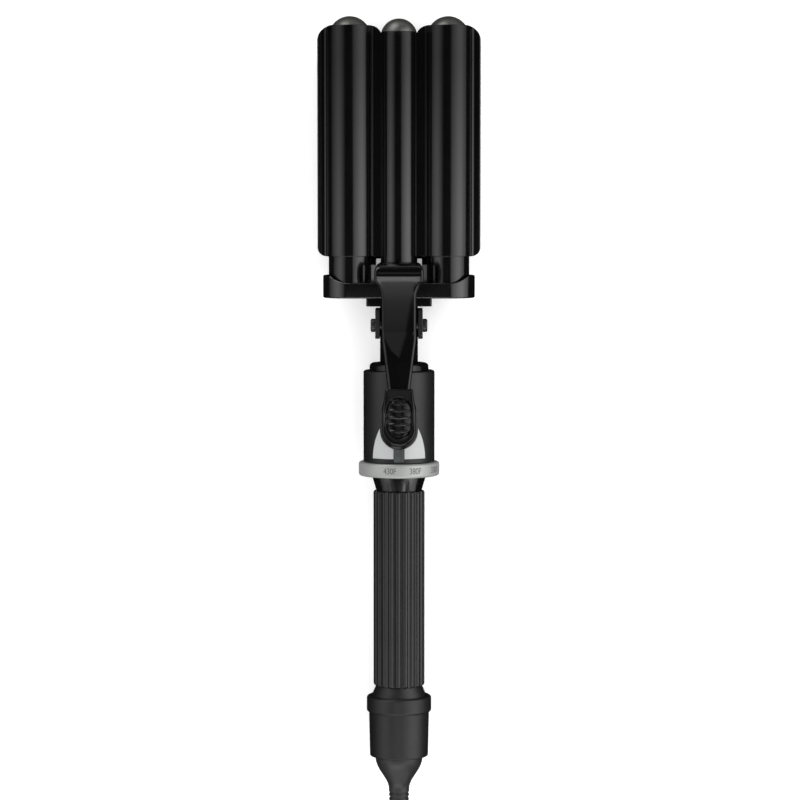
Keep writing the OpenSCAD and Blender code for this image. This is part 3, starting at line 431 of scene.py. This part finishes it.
# node: (material, width of the softened edge in mm, or 0 to keep the node itself)
nodeFinishes = {
    "body_housing": (softTouch, 0.25),
    "front_inlay": (inlaySilver, 0.06),
    "switch_frame": (innerPlastic, 0),
    "switch_dome": (innerPlastic, 0),
    "power_button": (lensSmoke, 0.25),
    "circuit_board": (boardGreen, 0),
    "resistor_track": (boardGreen, 0),
    "dial_wiper": (contactBrass, 0),
    "neck_collar": (glossPlastic, 0.15),
    "collar_screws": (springSteel, 0),
    "neck_stem": (glossEnamel, 0.2),
    "pivot_bracket": (blackSteel, 0.35),
    "pivot_pin": (blackSteel, 0.5),
    "lever_spring": (springSteel, 0),
    "stand_block": (glossPlastic, 0.35),
    "stand_pins": (springSteel, 0.15),
    "jaw_yoke": (yokePlastic, 0.7),
    "yoke_screws": (springSteel, 0.15),
    "left_barrel": (barrelEnamel, 0.12),
    "right_barrel": (barrelEnamel, 0.12),
    "middle_barrel": (barrelEnamel, 0.12),
    "left_tip": (tipSatin, 0.2),
    "right_tip": (tipSatin, 0.2),
    "middle_tip": (tipSatin, 0.2),
    "left_heater": (heaterCeramic, 0),
    "right_heater": (heaterCeramic, 0),
    "middle_heater": (heaterCeramic, 0),
    "rear_trough": (barrelEnamel, 0.25),
    "lever_screws": (springSteel, 0.15),
    "left_clamp_plate": (barrelEnamel, 0.3),
    "right_clamp_plate": (barrelEnamel, 0.3),
    "dial_ring": (ringSatin, 0.1),
    "rest_stand": (blackSteel, 0.3),
    "handle_neck": (yokePlastic, 0.2),
    "handle_core": (innerPlastic, 0),
    "grip_sleeve": (gripRubber, 0.15),
    "end_cap": (softTouch, 0.2),
    "contact_brushes": (contactBrass, 0),
    "swivel_boot": (bootRubber, 0.12),
    "slip_rings": (contactBrass, 0),
    "cord_tie": (innerPlastic, 0.3),
    "plug_body": (cordRubber, 0.5),
    "plug_blades": (contactBrass, 0.2),
}


def pieceName(nodeName):
    first, *rest = nodeName.split("_")
    return first + "".join(word.capitalize() for word in rest)


# a copy of a CAD node's mesh in one connected skin
def mergedCopy(nodeName):
    piece = bpy.data.objects.new(pieceName(nodeName), frame["nodes"][nodeName].data.copy())
    bpy.context.scene.collection.objects.link(piece)
    makeActive(piece)
    bpy.ops.object.mode_set(mode="EDIT")
    bpy.ops.mesh.select_all(action="SELECT")
    bpy.ops.mesh.remove_doubles(threshold=0.001 * mm)
    bpy.ops.mesh.dissolve_limited(angle_limit=math.radians(0.5))
    bpy.ops.object.mode_set(mode="OBJECT")
    return piece


edgeSettings = {
    "cornerAngle": 40,     # edges between faces at more than this are rounded
    "segments": 3,
    # nodes whose short edges would send a free bevel astray
    "clamped": {"body_housing", "neck_collar", "power_button", "plug_body", "cord_tie"},
}


# a copy of a CAD node with small rounded edges, which stands for the node
def softenedCopy(nodeName, material, width, settings):
    piece = mergedCopy(nodeName)
    applyModifier(
        piece, "BEVEL", width=width * mm, segments=settings["segments"], limit_method="ANGLE",
        angle_limit=math.radians(settings["cornerAngle"]), miter_outer="MITER_ARC",
        use_clamp_overlap=nodeName in settings["clamped"])
    smoothByAngle(piece)
    placePiece(piece, bodyOf(nodeName), material, [nodeName])
    return piece


ribTurn = math.radians(-2.5)         # a rib stands beside the middle of the grip's front
aboutAxis = (Matrix.Translation((0, 0, axisUp)) @ Matrix.Rotation(ribTurn, 4, "Y")
             @ Matrix.Translation((0, 0, -axisUp)))
for nodeName, (material, width) in nodeFinishes.items():
    if width:
        piece = softenedCopy(nodeName, material, width, edgeSettings)
        if nodeName == "grip_sleeve":
            piece.data.transform(aboutAxis)
    else:
        setMaterial(frame["nodes"][nodeName], material)
print("CAD nodes dressed:", len(nodeFinishes))


# lever: rolled edges and a V-shaped facet

leverSettings = {
    "up": 19.4,            # height of the face over the tool's axis, at slopeY
    "slopeY": 55.7,        # where the face turns into the rear arm
    "headSlope": 4, "armSlope": 14.5,        # the face rises both ways from there
    "headY": 89.7,         # front of the head, where it has bent down
    "bend": 6.5,           # outer radius of that bend
    "footTop": 9,          # what is lower than this is the foot under the head
    "rolledEdge": 2.0, "headEdge": 1.25, "otherEdge": 0.2,       # widths of the rounded edges
    "armTop": 50,          # the rolled edges of the arm end here
    "cornerAngle": 40,     # edges between faces at more than this are rounded
    "holeHalf": 2,         # edges this near the middle belong to the screw holes and stay sharp
    "facetTop": 83.2,      # the facet ends where the head's bend begins
    "facet": {             # reach of the facet to the right (1) and the left (-1) along the lever
        1: ((0, 43.3), (4.0, 55.7), (6.7, 72.0), (8.6, 83.2)),
        -1: ((0, 43.3), (3.3, 46.0), (5.4, 49.2), (6.8, 52.2), (7.7, 55.7), (8.8, 83.2)),
    },
    "facetFall": 0.068,    # how steeply the bands beside the facet fall away
    "fadeLength": 6,       # the fall fades out over this length before the bend
    "dish": 0.35,          # how far the face is hollowed between the head and the arm
    "sheet": 1.55,         # thickness of the sheet that moves with its face
    "gridFrom": 28, "grid": 1.5, "gridAcross": 7,      # cuts that let the face take its shape
    "lip": 0.24, "lipLength": 5.0, "lipCuts": 6,       # rise of the face just before the bend
    "rollAngle": 7,        # a rolled edge leaves the face at more than this
    "smoothAngle": 32,
}
samePlace = 0.01           # two places this near are the same
nearFace = 0.05            # a point this near is on the lever's face
nearBend = 0.3             # and so is one this near its bend, which is made of flats


# height of the lever's face over the tool's axis at a station
def leverFace(y, settings):
    if y > settings["slopeY"]:
        away, slope = y - settings["slopeY"], settings["headSlope"]
    else:
        away, slope = settings["slopeY"] - y, settings["armSlope"]
    return settings["up"] + away * math.tan(math.radians(slope))


# half width of the facet at a station
def facetHalf(side, y, settings):
    points = settings["facet"][side]
    for (x0, y0), (x1, y1) in zip(points, points[1:]):
        if y <= y1:
            return max(x0 + (x1 - x0) * (y - y0) / (y1 - y0), 0)
    return points[-1][0]


def edgeEnds(mesh, edge):
    return [mesh.vertices[index].co / mm for index in edge.vertices]


# whether a point is on the straight part of the lever's face, or this deep under it at most
def underFace(point, depth, settings):
    return point.z - axisUp / mm > leverFace(point.y, settings) - depth


# whether a point lies on the outer face, the bend included
def onOuterFace(point, settings):
    bend = settings["bend"]
    bendY = settings["headY"] - bend
    if point.y < bendY + samePlace:
        return underFace(point, nearFace, settings)
    height = point.z - axisUp / mm - leverFace(bendY, settings) + bend
    return math.hypot(point.y - bendY, height) > bend - nearBend


# gives each edge that is to be rounded its share of the widest roll
def weighLeverEdges(mesh, settings):
    bendY = settings["headY"] - settings["bend"]
    footTop = settings["footTop"] + axisUp / mm
    cornerAngle = math.radians(settings["cornerAngle"])
    weights = mesh.attributes.new("bevel_weight_edge", "FLOAT", "EDGE")
    faceNormals = normalsByEdge(mesh)
    for edge in mesh.edges:
        ends = edgeEnds(mesh, edge)
        first, second = faceNormals[edge.key]
        atHole = all(abs(point.x) < settings["holeHalf"] for point in ends)
        atFoot = any(point.y > bendY and point.z < footTop for point in ends)
        if atHole or atFoot or first.angle(second) <= cornerAngle:
            continue
        width = settings["otherEdge"]
        if all(onOuterFace(point, settings) for point in ends):
            onArm = all(point.y < settings["armTop"] for point in ends)
            width = settings["rolledEdge" if onArm else "headEdge"]
        weights.data[edge.index].value = width / settings["rolledEdge"]


# cuts everything along a plane; the cut's edges stay selected
def bisectAt(place, normal):
    bpy.ops.mesh.select_all(action="SELECT")
    bpy.ops.mesh.bisect(plane_co=Vector(place) * mm, plane_no=normal)


# a grid of cuts, and cuts along the facet's own lines
def cutLever(piece, settings):
    top, start, grid = settings["facetTop"], settings["gridFrom"], settings["grid"]
    lipCuts, across = settings["lipCuts"], settings["gridAcross"]
    stations = [y for points in settings["facet"].values() for x, y in points[:-1]]
    stations += [start + grid * k for k in range(int((top - start) / grid))]
    stations += [top - settings["lipLength"] * k / lipCuts for k in range(lipCuts, -1, -1)]
    makeActive(piece)
    bpy.ops.object.mode_set(mode="EDIT")
    for y in stations:
        bisectAt((0, y, 0), (0, 1, 0))
    for k in range(-across, across + 1):
        bisectAt((k * grid, 0, 0), (1, 0, 0))
    for side, points in settings["facet"].items():
        for (x0, y0), (x1, y1) in zip(points, points[1:]):
            bisectAt((side * x0, y0, 0), (y1 - y0, -side * (x1 - x0), 0))
    bpy.ops.object.mode_set(mode="OBJECT")


# the facet's outline and the line where the arm begins are creases
def markFacet(mesh, settings):
    for edge in mesh.edges:
        ends = edgeEnds(mesh, edge)
        if not all(underFace(point, nearFace, settings) for point in ends):
            continue
        onFacet = any(
            all(abs(side * point.x - facetHalf(side, point.y, settings)) < samePlace
                for point in ends) for side in settings["facet"])
        onSlope = all(abs(point.y - settings["slopeY"]) < samePlace for point in ends)
        ahead = max(point.y for point in ends)
        if ahead < settings["facetTop"] + samePlace and (onFacet or onSlope):
            edge.use_edge_sharp = True


# lip, dish and the fall beside the facet
def shapeLeverFace(mesh, settings):
    slopeY, top = settings["slopeY"], settings["facetTop"]
    for vertex in mesh.vertices:
        point = vertex.co / mm
        x, y, z = point
        if z - axisUp / mm > settings["footTop"]:
            up = min(max((y - top) / settings["lipLength"] + 1, 0), 1)
            vertex.co.z += settings["lip"] * up ** 2 * mm
        if y < top + samePlace and underFace(point, settings["sheet"], settings):
            along = min(max((y - slopeY) / (top - slopeY), 0), 1)
            beyond = max(0, abs(x) - facetHalf(1 if x > 0 else -1, y, settings))
            fade = min((top - y) / settings["fadeLength"], 1)
            fall = settings["facetFall"] * beyond * fade
            vertex.co.z -= (fall + settings["dish"] * 4 * along * (1 - along)) * mm


# the rolled edges start at a crease, so they don't shade into the flat face
def markRolls(mesh, settings):
    rollAngle = math.radians(settings["rollAngle"])
    faceNormals = normalsByEdge(mesh)
    for edge in mesh.edges:
        normals = faceNormals[edge.key]
        if len(normals) != 2 or normals[0].angle(normals[1], 0) <= rollAngle:
            continue
        y = mesh.vertices[edge.vertices[0]].co.y / mm
        onArm = y < settings["slopeY"]
        lean = math.radians(settings["armSlope"] if onArm else -settings["headSlope"])
        level = Vector((0, math.sin(lean), math.cos(lean)))
        offFace = min(normal.angle(level, 9) for normal in normals)
        if y < settings["facetTop"] - settings["lipLength"] and offFace < rollAngle:
            edge.use_edge_sharp = True


def makeLever(settings):
    piece = mergedCopy("clamp_lever")
    weighLeverEdges(piece.data, settings)
    applyModifier(piece, "BEVEL", width=settings["rolledEdge"] * mm, segments=4,
                  limit_method="WEIGHT", use_clamp_overlap=False)
    cutLever(piece, settings)
    markFacet(piece.data, settings)
    shapeLeverFace(piece.data, settings)
    markRolls(piece.data, settings)
    makeActive(piece)
    bpy.ops.object.shade_smooth_by_angle(
        angle=math.radians(settings["smoothAngle"]), keep_sharp_edges=True)
    placePiece(piece, "lever", glossEnamel, ["clamp_lever"])


makeLever(leverSettings)
print("lever shaped")


# thumb rest: dished oval pad with arched ridges

thumbSettings = {
    "y": 27.7,             # station where the rest begins on the arm
    "length": 28.6, "topHalf": 6.9, "half": 8.4, "widestY": -14.0,
    "height": 3.4,
    "skirt": 1.0, "skirtFrom": -5.0, "skirtTo": -16.0,       # how far the foot widens, and where
    "padY": -14.7, "padHalf": 6.8, "padLength": 20.8,
    "padPower": 2.25,      # 2 is an ellipse, more is squarer
    "around": 128,
    # rings up the side: inset from the outline, height, share of the skirt
    "sideRings": (
        (1.2, 0.02, 0), (1.2, -1.9, 0), (0.9, -2.0, 1), (-0.1, -2.0, 1), (-0.1, -1.7, 1),
        (-0.1, 0.2, 1), (0, 0.45, 0.6), (0, 0.65, 0), (0, 1.9, 0), (0.12, 2.6, 0),
        (0.4, 3.05, 0), (0.8, 3.28, 0), (1.1, 3.35, 0)),
    # rings into the pad's edge: beyond the pad's outline, depth under the top
    "rimRings": ((0.5, 0), (0.15, 0.08), (-0.1, 0.4), (-0.25, 1.1)),
    "padRings": 44, "padShare": 0.955,
    "sink": 0.1,           # of the ridges under the top
    "rimFrom": 0.86, "rimDepth": 1.35,       # the moat round the pad
    "crown": 1.5, "crownPower": 2.6,         # how far the pad falls towards its sides
    "ridges": 5, "ridgePitch": 3.45, "ridgeHeight": 0.46, "ridgeWidth": 1.6,
    "ridgeWave": 0.45, "waveHalf": 7, "droop": 0.9, "droopHalf": 6.5,
    "smoothAngle": 40,
}


# half width of the rest's outline at a station, in its own frame
def restHalf(y, settings):
    tail = settings["half"] - settings["length"]
    if y < tail:
        return math.sqrt(max(settings["half"] ** 2 - (y - tail) ** 2, 0))
    grown = smoothStep(y / settings["widestY"])
    return settings["topHalf"] + (settings["half"] - settings["topHalf"]) * grown


# where a ray from the pad's centre leaves the outline, found by halving
def restOutline(angle, settings):
    direction = Vector((math.sin(angle), math.cos(angle)))
    low, high = 0, 30        # the ray's far end is well outside
    for _ in range(40):
        middle = (low + high) / 2
        y = settings["padY"] + direction.y * middle
        halfThere = restHalf(y, settings)
        inside = -settings["length"] < y < 0 and abs(direction.x * middle) < halfThere
        low, high = (middle, high) if inside else (low, middle)
    return direction * low


def padOutline(angle, settings):
    direction = Vector((math.sin(angle), math.cos(angle)))
    power = settings["padPower"]
    reach = (abs(direction.x / settings["padHalf"]) ** power
             + abs(direction.y / (settings["padLength"] / 2)) ** power) ** (-1 / power)
    return direction * reach


# depth of the ribbed pad under the rest's top, at a share of the way out to its rim
def padDrop(x, y, share, settings):
    pitch, most = settings["ridgePitch"], settings["ridges"] // 2
    arch = math.sin(math.pi * abs(x) / settings["waveHalf"]) ** 2
    droop = settings["droop"] * (x / settings["droopHalf"]) ** 4
    along = (y - settings["ridgeWave"] * (arch - droop)) / pitch
    nearest = min(max(round(along), -most), most)
    away = min(abs(along - nearest) * pitch / settings["ridgeWidth"], 0.5)
    groove = 1 - math.cos(math.pi * away) ** 2
    rim = smoothStep((share - settings["rimFrom"]) / (1 - settings["rimFrom"]))
    drop = settings["crown"] * abs(x / settings["padHalf"]) ** settings["crownPower"]
    drop += settings["ridgeHeight"] * groove * (1 - rim)
    return settings["sink"] + drop + (settings["rimDepth"] - drop) * rim


# all rings of the rest, from its underside up the side and over the pad to its middle
def thumbRings(settings):
    count, centreY, height = settings["around"], settings["padY"], settings["height"]
    skirtLength = settings["skirtFrom"] - settings["skirtTo"]
    angles = [2 * math.pi * (k + 0.5) / count for k in range(count)]
    outer = [restOutline(angle, settings) for angle in angles]
    pad = [padOutline(angle, settings) for angle in angles]
    rings = []
    for inset, z, skirtShare in settings["sideRings"]:
        ring = []
        for point in outer:
            widening = smoothStep((settings["skirtFrom"] - centreY - point.y) / skirtLength)
            outwards = settings["skirt"] * skirtShare * widening - inset
            moved = point * (1 + outwards / point.length)
            ring.append((moved.x, centreY + moved.y, z))
        rings.append(ring)
    for outwards, depth in settings["rimRings"]:
        moved = [point * (1 + outwards / point.length) for point in pad]
        rings.append([(point.x, centreY + point.y, height - depth) for point in moved])
    for k in range(settings["padRings"]):
        share = settings["padShare"] * (1 - k / settings["padRings"])
        moved = [point * share for point in pad]
        rings.append([
            (point.x, centreY + point.y, height - padDrop(point.x, point.y, share, settings))
            for point in moved])
    return rings


# extrudes the selected ring of edges and moves each new corner from its old point to its new one
def placeRing(piece, oldPoints, newPoints):
    total = len(piece.data.vertices)
    places = [Vector(point) for point in oldPoints]
    bpy.ops.mesh.extrude_edges_move()
    bpy.ops.object.mode_set(mode="OBJECT")
    for vertex in piece.data.vertices[total:]:
        here = vertex.co / mm
        nearest = min(range(len(places)), key=lambda k: (here - places[k]).length)
        vertex.co = Vector(newPoints[nearest]) * mm
    bpy.ops.object.mode_set(mode="EDIT")


def makeThumbRest(settings):
    rings = thumbRings(settings)
    deselectAll()
    bpy.ops.mesh.primitive_circle_add(vertices=settings["around"], radius=settings["half"] * mm)
    piece = bpy.context.object
    piece.name = "thumbRest"
    for vertex, point in zip(piece.data.vertices, rings[0]):
        vertex.co = Vector(point) * mm
    bpy.ops.object.mode_set(mode="EDIT")
    bpy.ops.mesh.select_all(action="SELECT")
    bpy.ops.mesh.select_mode(type="EDGE")
    for old, new in zip(rings, rings[1:]):
        placeRing(piece, old, new)
    bpy.ops.mesh.edge_face_add()
    bpy.ops.mesh.select_all(action="SELECT")
    bpy.ops.mesh.fill_holes(sides=0)
    bpy.ops.mesh.normals_make_consistent(inside=False)
    bpy.ops.object.mode_set(mode="OBJECT")

    armUp = leverFace(settings["y"], leverSettings)
    piece.location = (0, settings["y"] * mm, axisUp + armUp * mm)
    piece.rotation_euler = (-math.radians(leverSettings["armSlope"]), 0, 0)
    makeActive(piece)
    bpy.ops.object.transform_apply(location=True, rotation=True, scale=True)
    smoothByAngle(piece, settings["smoothAngle"])
    placePiece(piece, "lever", glossPlastic, ["thumb_rest"])


makeThumbRest(thumbSettings)
print("thumb rest modelled")


# dial numbers

dialSettings = {
    # where each stands round the ring, from its front
    "numbers": {"430F": -13.1, "380F": 23.9, "330F": 60.9, "280F": 97.9, "OFF": 134.9},
    "height": 3.0,         # of a figure
    "capShare": 0.7,       # a figure's height in its type size
    "narrowed": 0.82, "spacing": 0.95,
    "proud": 0.05, "depth": 0.12,        # the ink over the ring, and its thickness
    "strip": 0.8,          # width of the strips in which a number bends round the ring
}


# a flat number in strips, laid round the ring
def makeNumber(words, degrees, settings):
    radius = (ringHigh.z - ringLow.z) / 2 / mm + settings["proud"]
    middle = (ringLow.y + ringHigh.y) / 2 / mm
    deselectAll()
    bpy.ops.object.text_add()
    number = bpy.context.object
    number.name = "dial" + words.title()
    number.data.body = words
    number.data.size = settings["height"] / settings["capShare"] * mm
    number.data.align_x = "CENTER"
    number.data.align_y = "CENTER"
    number.data.space_character = settings["spacing"]
    number.data.extrude = settings["depth"] / 2 * mm
    bpy.ops.object.convert(target="MESH")
    wide = max(vertex.co.x for vertex in number.data.vertices) / mm
    bpy.ops.object.mode_set(mode="EDIT")
    x = -wide
    while x < wide:
        bisectAt((x, 0, 0), (1, 0, 0))
        x += settings["strip"]
    bpy.ops.object.mode_set(mode="OBJECT")
    for vertex in number.data.vertices:
        across, along, out = vertex.co / mm
        angle = math.radians(degrees) + settings["narrowed"] * across / radius
        reach = radius + out - settings["depth"] / 2
        vertex.co = Vector((
            reach * math.sin(angle), middle + along, axisUp / mm + reach * math.cos(angle))) * mm
    placePiece(number, "dial", printInk)


for words, degrees in dialSettings["numbers"].items():
    makeNumber(words, degrees, dialSettings)
print("dial numbered")


# cord: finish, body and what it stands for

placePiece(cord, "handle", cordRubber, ["cord_lead", "cord_coil", "cord_tail"])


# light and floor

# angles from straight up, towards +X and +Y; a panel of brightness 1 is white in a mirror
panelSettings = {
    "frontLow": {"x": (-18, 2), "y": (-10.5, -4), "brightness": 0.33},
    "frontMiddle": {"x": (-18, 3), "y": (-18.5, -10.5), "brightness": 0.9},
    "ridgeGlow": {"x": (-42, 22), "y": (-62, -46), "brightness": 2.6},
    "headGlow": {"x": (-16, 4), "y": (-24, -18.5), "brightness": 3.0},
    "armStrip": {"x": (-3.5, 3.5), "y": (20, 32), "brightness": 0.32},
    "tipBox": {"x": (-45, 45), "y": (84, 98), "brightness": 0.5},
    "tipGlow": {"x": (-75, -45), "y": (50, 80), "brightness": 2.4},
    "cordBox": {"x": (-30, 30), "y": (-100, -72), "brightness": 0.9},
}
# the two large side lights, in steps that are brightest in the middle: x from, x to, brightness
sideBoxes = {
    "left": (
        (-98, -88, 0.2), (-88, -76, 0.45), (-76, -65, 0.7), (-65, -45, 0.92), (-45, -36, 0.65),
        (-36, -27, 0.35)),
    "right": (
        (15, 24, 0.66), (24, 32, 0.95), (32, 41, 1.2), (41, 50, 1.5), (50, 70, 1.65),
        (70, 80, 1.2), (80, 94, 0.75)),
}
sideSpan = (-36, 50)
for side, steps in sideBoxes.items():
    for k, (low, high, brightness) in enumerate(steps):
        panelSettings[side + "Box" + str(k + 1)] = {
            "x": (low, high), "y": sideSpan, "brightness": brightness}
panelDistance = 1250 * mm
panelCentre = Vector((0, 40 * mm, axisUp))


# a soft box that faces the tool and spans the given angles
def makePanel(name, settings):
    lowX, highX = (math.radians(angle) for angle in settings["x"])
    lowY, highY = (math.radians(angle) for angle in settings["y"])
    tiltX, tiltY = (lowX + highX) / 2, (lowY + highY) / 2
    turn = Matrix.Rotation(tiltX, 3, "Y") @ Matrix.Rotation(-tiltY, 3, "X")
    direction = turn @ Vector((0, 0, 1))
    data = bpy.data.lights.new(name, "AREA")
    data.shape = "RECTANGLE"
    data.size = 2 * panelDistance * math.tan((highX - lowX) / 2)
    data.size_y = 2 * panelDistance * math.tan((highY - lowY) / 2)
    data.energy = settings["brightness"] * math.pi * data.size * data.size_y
    lamp = bpy.data.objects.new(name, data)
    bpy.context.scene.collection.objects.link(lamp)
    lamp.location = panelCentre + direction * panelDistance
    lamp.rotation_euler = turn.to_euler()
    lamp.visible_camera = False


for name, settings in panelSettings.items():
    makePanel(name, settings)


roomSettings = {
    "glow": 0.75,          # of the world, to the camera and to matt surfaces
    "glossGlow": 0.01,     # of the world in reflections, so that black gloss stays black
    "floorSize": 12,       # metres
    "floorGlow": 0.25,
}


def makeWorld(settings):
    world = bpy.data.worlds.new("studio")
    bpy.context.scene.world = world
    world.use_nodes = True
    nodes, links = world.node_tree.nodes, world.node_tree.links
    background = nodes["Background"]
    path = nodes.new("ShaderNodeLightPath")
    strength = nodes.new("ShaderNodeMapRange")
    strength.inputs["To Min"].default_value = settings["glow"]
    strength.inputs["To Max"].default_value = settings["glossGlow"]
    links.new(path.outputs["Is Glossy Ray"], strength.inputs["Value"])
    links.new(strength.outputs["Result"], background.inputs["Strength"])
    background.inputs["Color"].default_value = (1, 1, 1, 1)


def makeFloor(settings):
    deselectAll()
    bpy.ops.mesh.primitive_plane_add(size=settings["floorSize"], location=(0, 0, 0))
    floor = bpy.context.object
    floor.name = "floor"
    setMaterial(floor, makeMaterial(
        "floorPaper", (0.93, 0.93, 0.93), (0.91, 0.91, 0.91), 0.8,
        surface={"Patch Scale": 3},
        shader={"Emission Color": (1, 1, 1, 1), "Emission Strength": settings["floorGlow"]}))
    floor.visible_glossy = False


makeWorld(roomSettings)
makeFloor(roomSettings)
bpy.context.scene.view_settings.view_transform = "Standard"
print("light and floor set")
